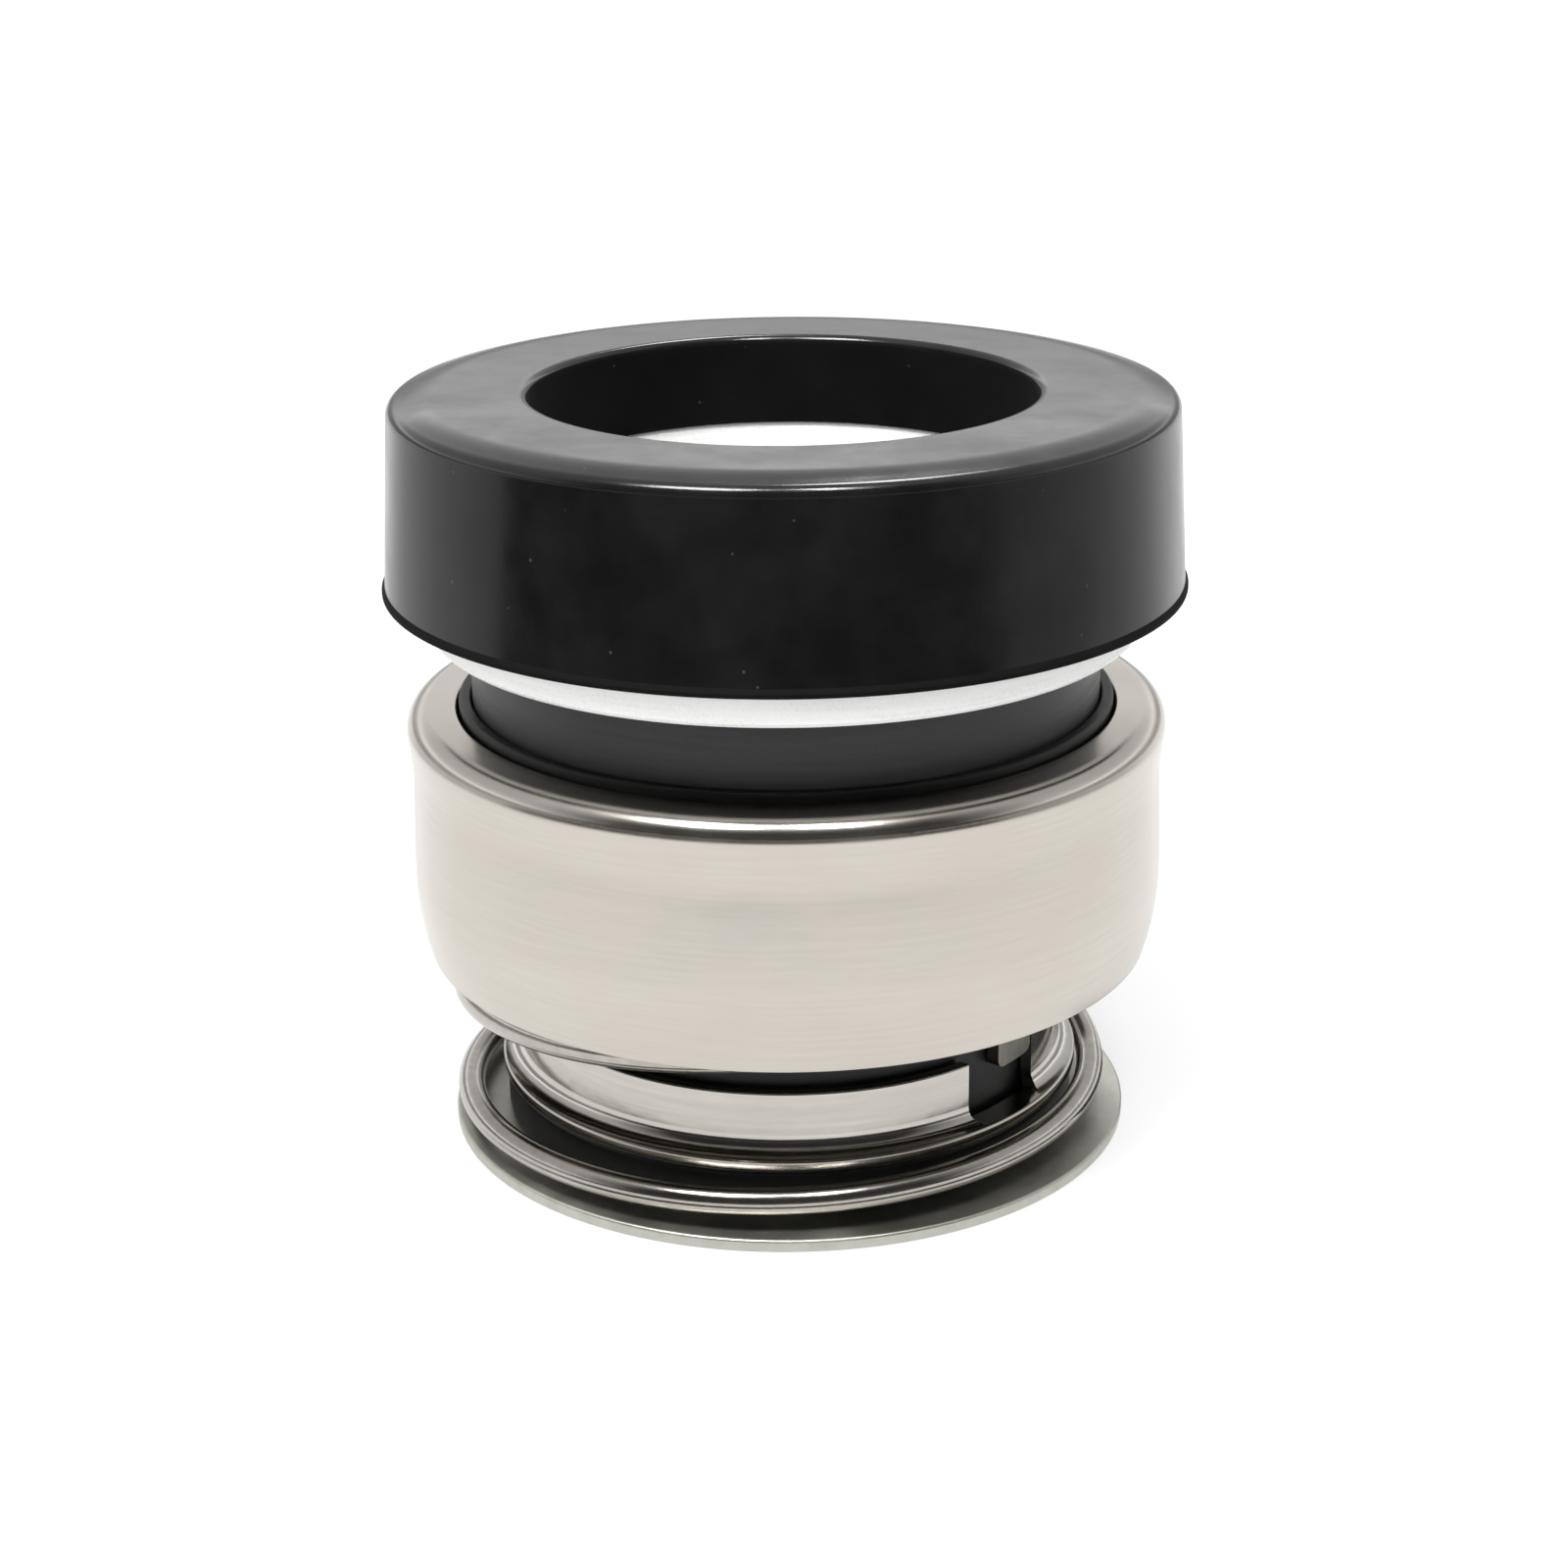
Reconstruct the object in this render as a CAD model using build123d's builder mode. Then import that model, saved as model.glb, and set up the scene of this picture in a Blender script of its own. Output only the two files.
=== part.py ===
from build123d import *
import os
from math import asin, atan2, cos, degrees, hypot, pi, radians, sin, tan

os.makedirs("parts", exist_ok=True)

# Rubber-bellows shaft seal for a 3/4 inch pump shaft, all sizes in millimetres.
# The shaft runs along Z. The origin is at the middle of the spring holder's
# underside, on which the seal stands, and -Y is the side seen in the photograph.
# The shell's diameter sets the head: its other rings follow inwards, through
# named walls and gaps, down to the shaft. The cup's diameter sets the seat.

# Fits and clearances
shaft_grip = 0.075
close_fit = 0.05
rubber_fit = 0.1

# Spring holder, a flat stamped ring
holder_margin = 0.5
holder_sheet = 0.55
holder_edge_radius = 0.12

# Rubber bellows: spigot, foot, tail, fold, head and collar
spigot_wall = 0.7
spigot_recess = 0.1
foot_height = 2.0
foot_inset = 0.2
tail_length = 6.5
tail_wall = 2.1
bellows_wall = 1.15
fold_depth = 0.55
fold_ramp = 1.0
fold_land = 1.3
tail_ramp = 1.0
head_floor = 1.45
head_throat_step = 0.2
shoulder_height = 2.65
collar_wall = 0.55
collar_stand = 1.6
rubber_edge_radius = 0.3
collar_edge_radius = 0.4
fold_radius = 0.6

# Drive band, a drawn steel sleeve whose foot flares out to a lip, with open slots
band_sheet = 0.55
band_height = 3.28
band_bend_radius = 0.75
band_lip_flat = 0.15
band_edge_radius = 0.12
slot_width = 4.6
slot_corner_radius = 0.4
slot_angle = 50.0

# Axial travel of the seal head from its free length until the lugs bottom
face_travel = 1.8
lug_end_gap = 0.1

# Retainer inside the shell: spring seat, sleeve and drive lugs
retainer_sheet = 0.55
retainer_bend_radius = 0.3
sleeve_gap = 1.0
lug_width = 2.6
lug_flank_gap = 0.15
lug_corner_radius = 0.4

# Coil spring of round wire with closed ends
wire_diameter = 1.2
coil_shell_gap = 1.35
coil_sleeve_gap = 1.4
coil_lip_gap = 0.1
spring_length = 14.45
coil_start_angle = -150.0
end_turns = 0.667
end_pitch = 1.6
active_turns = 1.32
points_per_turn = 12
coil_seat_gap = 0.02

# Shell round the head: in-turned lip at the top, drawn in at the bottom
shell_diameter = 33.4
shell_sheet = 0.55
shell_height = 10.2
shell_top_radius = 0.7
shell_draw_in = 0.6
shell_draw_height = 1.95
shell_draw_radius = 12.0
shell_edge_radius = 0.12

# Carbon ring with the rotating face
carbon_shaft_gap = 1.175
carbon_wall = 3.1
carbon_height = 6.05
carbon_chamfer = 0.2

# Ceramic seat with the stationary face
ceramic_wall = 4.5
ceramic_height = 6.25
ceramic_chamfer = 0.2

# Rubber cup round the ceramic seat
cup_diameter = 34.5
cup_wall = 1.7
cup_lip_cover = 0.18
cup_flange = 4.05
cup_depth = 8.45
cup_bevel_width = 1.65
cup_bevel_drop = 0.6
cup_bevel_radius = 0.25
cup_bore_radius = 0.2
cup_mouth_chamfer = 0.3
cup_bead_stand = 0.215
cup_bead_height = 0.4

# Heights that follow from the stack, from the spring holder upwards
holder_top = holder_sheet
foot_top = holder_top + foot_height
band_lip_top = foot_top + band_sheet
band_top = foot_top + band_height
lug_tip = band_lip_top + face_travel + lug_end_gap
sleeve_bottom = band_top + face_travel + sleeve_gap
flange_bottom = holder_top + spring_length
flange_top = flange_bottom + retainer_sheet
carbon_back = flange_top + head_floor
running_face = carbon_back + carbon_height
ceramic_top = running_face + ceramic_height
cup_top = ceramic_top + cup_flange
cup_mouth = cup_top - cup_depth
shoulder_top = flange_top + shoulder_height
lip_bottom = shoulder_top + close_fit
lip_top = lip_bottom + shell_sheet
collar_top = lip_top + collar_stand
shell_bottom = lip_top - shell_height

# Radii that follow from the shell inwards to the shaft
shell_radius = shell_diameter / 2
shell_inner = shell_radius - shell_sheet
flange_radius = shell_inner - close_fit
coil_outer = shell_inner - coil_shell_gap
coil_mean = coil_outer - wire_diameter / 2
holder_radius = coil_outer + holder_margin
sleeve_outer = coil_outer - wire_diameter - coil_sleeve_gap
sleeve_inner = sleeve_outer - retainer_sheet
band_inner = sleeve_inner
band_outer = band_inner + band_sheet
band_lip_radius = band_outer + band_bend_radius + band_lip_flat
foot_radius = band_lip_radius - foot_inset
tail_radius = band_inner - rubber_fit
tail_bore = tail_radius - tail_wall
spigot_radius = tail_bore + spigot_wall
holder_bore = spigot_radius + close_fit
shaft_radius = tail_bore + shaft_grip

# Radii that follow from the shaft outwards
carbon_bore = shaft_radius + carbon_shaft_gap
carbon_radius = carbon_bore + carbon_wall
head_pocket = carbon_radius + close_fit
collar_radius = head_pocket + collar_wall
lip_opening = collar_radius + rubber_fit

# Radii that follow from the cup inwards
cup_radius = cup_diameter / 2
cup_pocket = cup_radius - cup_wall
cup_bead_radius = cup_radius + cup_bead_stand
ceramic_radius = cup_pocket - close_fit
ceramic_bore = ceramic_radius - ceramic_wall
cup_bore = ceramic_bore - cup_lip_cover

# Spring holder
with BuildPart() as spring_holder:
    with BuildSketch(Plane.XZ):
        with BuildLine():
            FilletPolyline(
                (holder_bore, 0),
                (holder_radius, 0),
                (holder_radius, holder_top),
                (holder_bore, holder_top),
                radius=[0, holder_edge_radius, holder_edge_radius, 0],
                close=True,
            )
        make_face()
    revolve(axis=Axis.Z)
spring_holder.part.label = "spring_holder"

# Drive band: the wall and the lip are one sheet, bent outwards at the foot
with BuildPart() as drive_band:
    with BuildSketch(Plane.XZ):
        with BuildLine():
            FilletPolyline(
                (band_inner, foot_top),
                (band_lip_radius, foot_top),
                (band_lip_radius, band_lip_top),
                (band_outer, band_lip_top),
                (band_outer, band_top),
                (band_inner, band_top),
                radius=[
                    band_bend_radius + band_sheet,
                    band_edge_radius,
                    band_edge_radius,
                    band_bend_radius,
                    band_edge_radius,
                    band_edge_radius,
                ],
                close=True,
            )
        make_face()
    revolve(axis=Axis.Z)
    for half_turn in (0, 180):
        with BuildSketch(Plane.XZ.rotated((0, 0, slot_angle + half_turn))):
            with Locations((0, band_lip_top)):
                Rectangle(slot_width, 2 * band_height, align=(Align.CENTER, Align.MIN))
            fillet(vertices().group_by(Axis.Y)[0], slot_corner_radius)
        extrude(amount=2 * band_lip_radius, mode=Mode.SUBTRACT)
drive_band.part.label = "drive_band"

# Bellows: the tail grips the shaft, one fold takes up the travel, and the head
# carries the carbon ring and shows as a collar above the shell's lip. The fold is
# halfway up the thin wall between the tail and the head.
fold_inner = tail_radius - bellows_wall
valley_outer = tail_radius - fold_depth
valley_inner = fold_inner - fold_depth
head_throat = fold_inner + head_throat_step
tail_end = spigot_recess + tail_length
relief_bottom = tail_end + tail_ramp
throat_bottom = flange_top - bellows_wall
valley_bottom = (relief_bottom + throat_bottom - fold_land) / 2
valley_top = valley_bottom + fold_land
fold_bottom = valley_bottom - fold_ramp
fold_top = valley_top + fold_ramp
with BuildPart() as bellows:
    with BuildSketch(Plane.XZ):
        with BuildLine():
            FilletPolyline(
                (tail_bore, spigot_recess),
                (spigot_radius, spigot_recess),
                (spigot_radius, holder_top),
                (foot_radius, holder_top),
                (foot_radius, foot_top),
                (tail_radius, foot_top),
                (tail_radius, fold_bottom),
                (valley_outer, valley_bottom),
                (valley_outer, valley_top),
                (tail_radius, fold_top),
                (tail_radius, flange_top),
                (shell_inner - rubber_fit, flange_top),
                (shell_inner - rubber_fit, shoulder_top),
                (collar_radius, shoulder_top),
                (collar_radius, collar_top),
                (head_pocket, collar_top),
                (head_pocket, carbon_back),
                (head_throat, carbon_back),
                (head_throat, flange_top),
                (fold_inner, throat_bottom),
                (fold_inner, fold_top),
                (valley_inner, valley_top),
                (valley_inner, valley_bottom),
                (fold_inner, fold_bottom),
                (fold_inner, relief_bottom),
                (tail_bore, tail_end),
                radius=[
                    0,
                    0,
                    0,
                    rubber_edge_radius,
                    rubber_edge_radius,
                    0,
                    fold_radius,
                    fold_radius,
                    fold_radius,
                    fold_radius,
                    retainer_bend_radius + retainer_sheet + rubber_fit,
                    rubber_edge_radius,
                    shell_top_radius,
                    0,
                    collar_edge_radius,
                    0,
                    0,
                    0,
                    rubber_edge_radius,
                    rubber_edge_radius,
                    fold_radius,
                    fold_radius,
                    fold_radius,
                    fold_radius,
                    fold_radius,
                    rubber_edge_radius,
                ],
                close=True,
            )
        make_face()
    revolve(axis=Axis.Z)
bellows.part.label = "bellows"

# Retainer: the flange seats the spring's upper end, and the sleeve runs down
# inside the coils to two lugs, which lean on one flank of the drive band's slots
lug_lean = degrees(asin(((slot_width - lug_width) / 2 - lug_flank_gap) / band_outer))
with BuildPart() as retainer:
    with BuildSketch(Plane.XZ):
        with BuildLine():
            FilletPolyline(
                (sleeve_inner, lug_tip),
                (sleeve_outer, lug_tip),
                (sleeve_outer, flange_bottom),
                (flange_radius, flange_bottom),
                (flange_radius, flange_top),
                (sleeve_inner, flange_top),
                radius=[0, 0, retainer_bend_radius, 0, 0, retainer_bend_radius + retainer_sheet],
                close=True,
            )
        make_face()
    revolve(axis=Axis.Z)
    with BuildSketch(Plane.XZ.rotated((0, 0, slot_angle + lug_lean))):
        with Locations((0, sleeve_bottom)):
            Rectangle(4 * sleeve_outer, 2 * sleeve_bottom, align=(Align.CENTER, Align.MAX))
        with Locations((0, sleeve_bottom + lug_corner_radius)):
            RectangleRounded(
                lug_width,
                2 * (sleeve_bottom - lug_tip + lug_corner_radius),
                lug_corner_radius,
                mode=Mode.SUBTRACT,
            )
    extrude(amount=2 * sleeve_outer, both=True, mode=Mode.SUBTRACT)
retainer.part.label = "retainer"

# Coil spring: the wire's centre line climbs slowly in the closed end coils and
# quickly in the active one. The loose coil stands off centre, near the band's lip.
coil_bottom = holder_top + wire_diameter / 2 + coil_seat_gap
coil_top = flange_bottom - wire_diameter / 2 - coil_seat_gap
active_pitch = (coil_top - coil_bottom - 2 * end_turns * end_pitch) / active_turns
coil_turns = active_turns + 2 * end_turns
coil_inner = coil_mean - wire_diameter / 2
coil_shift = coil_inner - band_lip_radius - coil_lip_gap


def coil_point(turn):
    """Centre of the wire, so many turns above its lower end."""
    active_part = min(max(turn - end_turns, 0), active_turns)
    height = coil_bottom + end_pitch * (turn - active_part) + active_pitch * active_part
    angle = radians(coil_start_angle) + 2 * pi * turn
    return (coil_mean * sin(angle) - coil_shift, -coil_mean * cos(angle), height)


coil_steps = round(coil_turns * points_per_turn)
with BuildPart() as coil_spring:
    with BuildLine() as coil_path:
        Spline(*[coil_point(coil_turns * step / coil_steps) for step in range(coil_steps + 1)])
    with BuildSketch(coil_path.line ^ 0):
        Circle(wire_diameter / 2)
    sweep()
coil_spring.part.label = "coil_spring"

# Shell: the sweep of the drawn-in rim is at most what the slope under it holds
rim_outer = shell_radius - shell_draw_in
rim_inner = rim_outer - shell_sheet
draw_corner = shell_bottom + shell_draw_height
draw_lean = atan2(shell_draw_in, shell_draw_height)
draw_slope = hypot(shell_draw_in, shell_draw_height)
rim_edge = shell_edge_radius / tan(pi / 4 - draw_lean / 2)
draw_sweep = min(shell_draw_radius, (draw_slope - rim_edge - close_fit) / tan(draw_lean / 2))
with BuildPart() as shell:
    with BuildSketch(Plane.XZ):
        with BuildLine():
            FilletPolyline(
                (rim_inner, shell_bottom),
                (rim_outer, shell_bottom),
                (shell_radius, draw_corner),
                (shell_radius, lip_top),
                (lip_opening, lip_top),
                (lip_opening, lip_bottom),
                (shell_inner, lip_bottom),
                (shell_inner, draw_corner),
                radius=[
                    shell_edge_radius,
                    shell_edge_radius,
                    draw_sweep,
                    shell_top_radius,
                    shell_edge_radius,
                    shell_edge_radius,
                    shell_top_radius - shell_sheet,
                    draw_sweep,
                ],
                close=True,
            )
        make_face()
    revolve(axis=Axis.Z)
shell.part.label = "shell"

# Carbon ring
with BuildPart() as carbon_ring:
    with BuildSketch(Plane.XZ):
        with Locations((carbon_bore, carbon_back)):
            Rectangle(carbon_wall, carbon_height, align=(Align.MIN, Align.MIN))
        chamfer(vertices(), carbon_chamfer)
    revolve(axis=Axis.Z)
carbon_ring.part.label = "carbon_ring"

# Ceramic seat
with BuildPart() as ceramic_seat:
    with BuildSketch(Plane.XZ):
        with Locations((ceramic_bore, running_face)):
            Rectangle(ceramic_wall, ceramic_height, align=(Align.MIN, Align.MIN))
        chamfer(vertices(), ceramic_chamfer)
    revolve(axis=Axis.Z)
ceramic_seat.part.label = "ceramic_seat"

# Seat cup: the pocket holds the ceramic, a bevel runs round the top and a moulded
# bead round the mouth
with BuildPart() as seat_cup:
    with BuildSketch(Plane.XZ):
        with BuildLine():
            FilletPolyline(
                (cup_pocket + cup_mouth_chamfer, cup_mouth),
                (cup_bead_radius, cup_mouth),
                (cup_bead_radius, cup_mouth + cup_bead_height / 2),
                (cup_radius, cup_mouth + cup_bead_height),
                (cup_radius, cup_top - cup_bevel_drop),
                (cup_radius - cup_bevel_width, cup_top),
                (cup_bore, cup_top),
                (cup_bore, ceramic_top),
                (cup_pocket, ceramic_top),
                (cup_pocket, cup_mouth + cup_mouth_chamfer),
                radius=[0, 0, 0, 0, cup_bevel_radius, cup_bevel_radius, cup_bore_radius, 0, 0, 0],
                close=True,
            )
        make_face()
    revolve(axis=Axis.Z)
seat_cup.part.label = "seat_cup"

export_step(spring_holder.part, "parts/spring_holder.step")
export_step(drive_band.part, "parts/drive_band.step")
export_step(bellows.part, "parts/bellows.step")
export_step(retainer.part, "parts/retainer.step")
export_step(coil_spring.part, "parts/coil_spring.step")
export_step(shell.part, "parts/shell.step")
export_step(carbon_ring.part, "parts/carbon_ring.step")
export_step(ceramic_seat.part, "parts/ceramic_seat.step")
export_step(seat_cup.part, "parts/seat_cup.step")
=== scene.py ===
from math import acos, ceil, cos, pi, radians, sin, tan

import bmesh
import bpy
from mathutils import Matrix, Vector


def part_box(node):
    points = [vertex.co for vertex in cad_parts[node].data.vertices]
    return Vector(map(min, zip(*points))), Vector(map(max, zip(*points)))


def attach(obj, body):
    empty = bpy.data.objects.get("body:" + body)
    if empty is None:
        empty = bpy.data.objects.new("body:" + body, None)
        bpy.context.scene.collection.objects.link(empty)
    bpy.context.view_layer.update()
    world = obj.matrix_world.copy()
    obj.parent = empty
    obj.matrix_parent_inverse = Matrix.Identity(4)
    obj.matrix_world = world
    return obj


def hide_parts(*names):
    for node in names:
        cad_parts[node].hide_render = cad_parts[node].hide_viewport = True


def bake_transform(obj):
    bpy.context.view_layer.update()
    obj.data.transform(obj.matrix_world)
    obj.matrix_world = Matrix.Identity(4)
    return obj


# Rubber-bellows shaft seal for a 3/4 inch pump shaft, dressed over its CAD frame.
# Sizes are in millimetres and turn to metres only where a mesh is written.

MM = 0.001

# Mesh: steps round a ring, the largest turn of an arc's step and its fewest steps, the
# guard points' distance from an arc, the sharpest smooth edge and the weld distance
ROUND_STEPS = 288
ARC_STEP = radians(9)
ARC_LEAST = 6
GUARD = 0.05
SHARP_ANGLE = radians(32)
WELD = 0.0005
WIRE_SIDES = 28
WIRE_POINTS = 420
CARD_STEPS = 48

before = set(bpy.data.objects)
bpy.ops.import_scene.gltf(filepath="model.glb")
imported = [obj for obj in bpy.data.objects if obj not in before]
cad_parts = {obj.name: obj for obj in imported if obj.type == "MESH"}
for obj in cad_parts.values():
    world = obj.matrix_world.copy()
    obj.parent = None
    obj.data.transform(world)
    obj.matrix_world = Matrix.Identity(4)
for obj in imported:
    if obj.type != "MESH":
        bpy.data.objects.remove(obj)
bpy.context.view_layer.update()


def measured(node):
    """Radius, bottom and top of a CAD ring, in millimetres."""
    low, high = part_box(node)
    return high.x / MM, low.z / MM, high.z / MM


holder_radius, holder_bottom, holder_top = measured("spring_holder")
band_lip_radius, foot_top, band_top = measured("drive_band")
flange_radius, lug_tip, flange_top = measured("retainer")
shell_radius, shell_bottom, lip_top = measured("shell")
carbon_radius, carbon_back, running_face = measured("carbon_ring")
ceramic_radius, ceramic_bottom, ceramic_top = measured("ceramic_seat")
cup_bead_radius, cup_mouth, cup_top = measured("seat_cup")
head_radius, spigot_bottom, collar_top = measured("bellows")

# Walls and small radii that the frame's boxes don't give.
# Fits between pieces, and the sheet that the steel pieces are pressed from
close_fit = 0.05
rubber_fit = 0.1
sheet = 0.55
edge_radius = 0.12
# Bellows
tail_wall = 2.1
spigot_wall = 0.7
foot_inset = 0.2
tail_length = 6.5
tail_ramp = 1.0
bellows_wall = 1.15
fold_depth = 0.55
fold_ramp = 1.0
fold_land = 1.3
fold_radius = 0.6
throat_step = 0.2
collar_wall = 0.55
rubber_edge = 0.3
collar_edge = 0.18
collar_drop = 0.4
# Drive band and retainer
band_lip_flat = 0.15
band_bend = 0.75
slot_width = 4.6
slot_corner = 0.4
slot_angle = 50.0
face_travel = 1.8
sleeve_gap = 1.0
sleeve_bend = 0.3
lug_width = 2.6
lug_lean = 4.0
lug_corner = 0.4
# Spring
wire_diameter = 1.2
coil_seat_gap = 0.02
# Shell: its wall draws in to the foot, and has a waist under the rolled lip
shell_corner = 0.7
shell_draw_in = 0.6
shell_draw_height = 1.95
shell_draw_sweep = 12.0
lip_rise = 0.8
lip_corner = 0.9
waist_depth = 0.2
waist_drop = 2.6
waist_sweep = 10.0
roll_drop = 1.0
roll_sweep = 1.0
# Ground rings
carbon_wall = 3.1
ceramic_wall = 4.5
ring_chamfer = 0.2
ground_edge = 0.06
# Cup: a plain wall from foot to brow, and a crown that runs into the flat top
cup_foot_radius = 17.33
cup_brow_radius = 16.9
cup_brow_drop = 0.31
cup_brow_edge = 0.5
cup_crown_radius = 15.57
cup_crown_round = 5.0
cup_lip_cover = 0.1
cup_bore_edge = 0.38
cup_chamfer = 0.3
cup_bead_height = 0.4
bead_edge = 0.08

# Heights and radii that follow. The shell's lip stands higher, and the rubber collar
# lower, than in the CAD model, as in the photograph.
lip_top += lip_rise
collar_top -= collar_drop
band_outer = band_lip_radius - band_lip_flat - band_bend
band_inner = band_outer - sheet
band_lip_top = foot_top + sheet
tail_radius = band_inner - rubber_fit
tail_bore = tail_radius - tail_wall
spigot_radius = tail_bore + spigot_wall
foot_radius = band_lip_radius - foot_inset
flange_bottom = flange_top - sheet
sleeve_bottom = band_top + face_travel + sleeve_gap
lip_bottom = lip_top - sheet
shoulder_top = lip_bottom - close_fit
head_pocket = carbon_radius + close_fit
collar_radius = head_pocket + collar_wall
lip_opening = collar_radius + rubber_fit
shell_inner = shell_radius - sheet
carbon_bore = carbon_radius - carbon_wall
ceramic_bore = ceramic_radius - ceramic_wall
cup_pocket = ceramic_radius + close_fit
cup_bore = ceramic_bore - cup_lip_cover


# Mesh code


def rounded(corners):
    """Closed (r, z) outline with an arc in place of each corner that has a radius,
    and a guard point near each end of a flat, which keeps its shading flat."""
    outline = []
    count = len(corners)
    for i, (r, z, radius) in enumerate(corners):
        here = Vector((r, z))
        back = Vector(corners[i - 1][:2]) - here
        ahead = Vector(corners[(i + 1) % count][:2]) - here
        if radius == 0:
            outline.append([here])
            continue
        back.normalize()
        ahead.normalize()
        half = acos(max(-1.0, min(1.0, back.dot(ahead)))) / 2
        reach = radius / tan(half)
        centre = here + (back + ahead).normalized() * (radius / sin(half))
        first = here + back * reach - centre
        last = here + ahead * reach - centre
        turn = pi - 2 * half
        steps = max(ARC_LEAST, ceil(turn / ARC_STEP))
        arc = []
        for k in range(steps + 1):
            share = k / steps
            spoke = first * sin((1 - share) * turn) + last * sin(share * turn)
            arc.append(centre + spoke / sin(turn))
        outline.append(arc)
    points = []
    for i, arc in enumerate(outline):
        points.extend(arc)
        start, end = arc[-1], outline[(i + 1) % count][0]
        flat = end - start
        if flat.length > 4 * GUARD:
            points.append(start + flat.normalized() * GUARD)
            points.append(end - flat.normalized() * GUARD)
    return points


def shade(bm):
    """Smooth faces, apart from the edges that are sharp on the real piece."""
    for face in bm.faces:
        face.smooth = True
    for edge in bm.edges:
        edge.smooth = edge.calc_face_angle(0) < SHARP_ANGLE


def finish_mesh(name, bm):
    """Closes the mesh's seams, turns its faces outwards and makes it an object."""
    bmesh.ops.remove_doubles(bm, verts=bm.verts, dist=WELD * MM)
    bmesh.ops.recalc_face_normals(bm, faces=bm.faces)
    shade(bm)
    mesh = bpy.data.meshes.new(name)
    bm.to_mesh(mesh)
    bm.free()
    piece = bpy.data.objects.new(name, mesh)
    bpy.context.scene.collection.objects.link(piece)
    return piece


def turned(name, corners):
    """Ring turned about Z from the section's corners (r, z, radius)."""
    section = rounded(corners)
    bm = bmesh.new()
    rings = []
    for step in range(ROUND_STEPS):
        angle = 2 * pi * step / ROUND_STEPS
        rings.append(
            [bm.verts.new((r * sin(angle) * MM, -r * cos(angle) * MM, z * MM)) for r, z in section]
        )
    for step, ring in enumerate(rings):
        after = rings[(step + 1) % ROUND_STEPS]
        for k in range(len(section)):
            j = (k + 1) % len(section)
            bm.faces.new((ring[k], after[k], after[j], ring[j]))
    return finish_mesh(name, bm)


def plate(name, corners, angle, near, far):
    """Cutter of a flat outline (across, z, radius) that stands square to the spoke at
    an angle from -Y, from the near to the far distance along it."""
    outline = rounded(corners)
    spoke = Vector((sin(radians(angle)), -cos(radians(angle)), 0))
    across = Vector((cos(radians(angle)), sin(radians(angle)), 0))
    bm = bmesh.new()
    ends = []
    for distance in (near, far):
        ends.append(
            [
                bm.verts.new((spoke * distance + across * x + Vector((0, 0, z))) * MM)
                for x, z in outline
            ]
        )
    bm.faces.new(ends[0])
    bm.faces.new(ends[1])
    for k in range(len(outline)):
        j = (k + 1) % len(outline)
        bm.faces.new((ends[0][k], ends[0][j], ends[1][j], ends[1][k]))
    return finish_mesh(name, bm)


def plain_copy(piece):
    """The piece with its evaluated mesh as a plain mesh, and its modifiers gone."""
    bpy.context.view_layer.update()
    evaluated = piece.evaluated_get(bpy.context.evaluated_depsgraph_get())
    mesh = bpy.data.meshes.new_from_object(evaluated)
    piece.modifiers.clear()
    piece.data = mesh
    bm = bmesh.new()
    bm.from_mesh(mesh)
    bmesh.ops.remove_doubles(bm, verts=bm.verts, dist=WELD * MM)
    bmesh.ops.recalc_face_normals(bm, faces=bm.faces)
    shade(bm)
    bm.to_mesh(mesh)
    bm.free()


def cut(piece, cutters):
    """The piece less its cutters."""
    for cutter in cutters:
        modifier = piece.modifiers.new("cut", "BOOLEAN")
        modifier.operation = "DIFFERENCE"
        modifier.solver = "EXACT"
        modifier.object = cutter
    plain_copy(piece)
    for cutter in cutters:
        bpy.data.objects.remove(cutter)


# Nodes


def add(tree, kind, inputs=None, **settings):
    """One node with its settings, input values and links."""
    node = tree.nodes.new(kind)
    for name, value in settings.items():
        setattr(node, name, value)
    for key, value in (inputs or {}).items():
        if isinstance(value, bpy.types.NodeSocket):
            tree.links.new(value, node.inputs[key])
        else:
            node.inputs[key].default_value = value
    return node


def linear(code):
    """sRGB hex colour as linear RGBA."""
    shares = [int(code[i : i + 2], 16) / 255 for i in (1, 3, 5)]
    return [s / 12.92 if s <= 0.04045 else ((s + 0.055) / 1.055) ** 2.4 for s in shares] + [1]


def new_material(name):
    """Empty material and its node tree."""
    material = bpy.data.materials.new(name)
    material.use_nodes = True
    material.node_tree.nodes.clear()
    return material, material.node_tree


def per_mm(size):
    """Scale of a texture on Object coordinates whose grain is so many millimetres."""
    return 1 / (size * MM)


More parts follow.
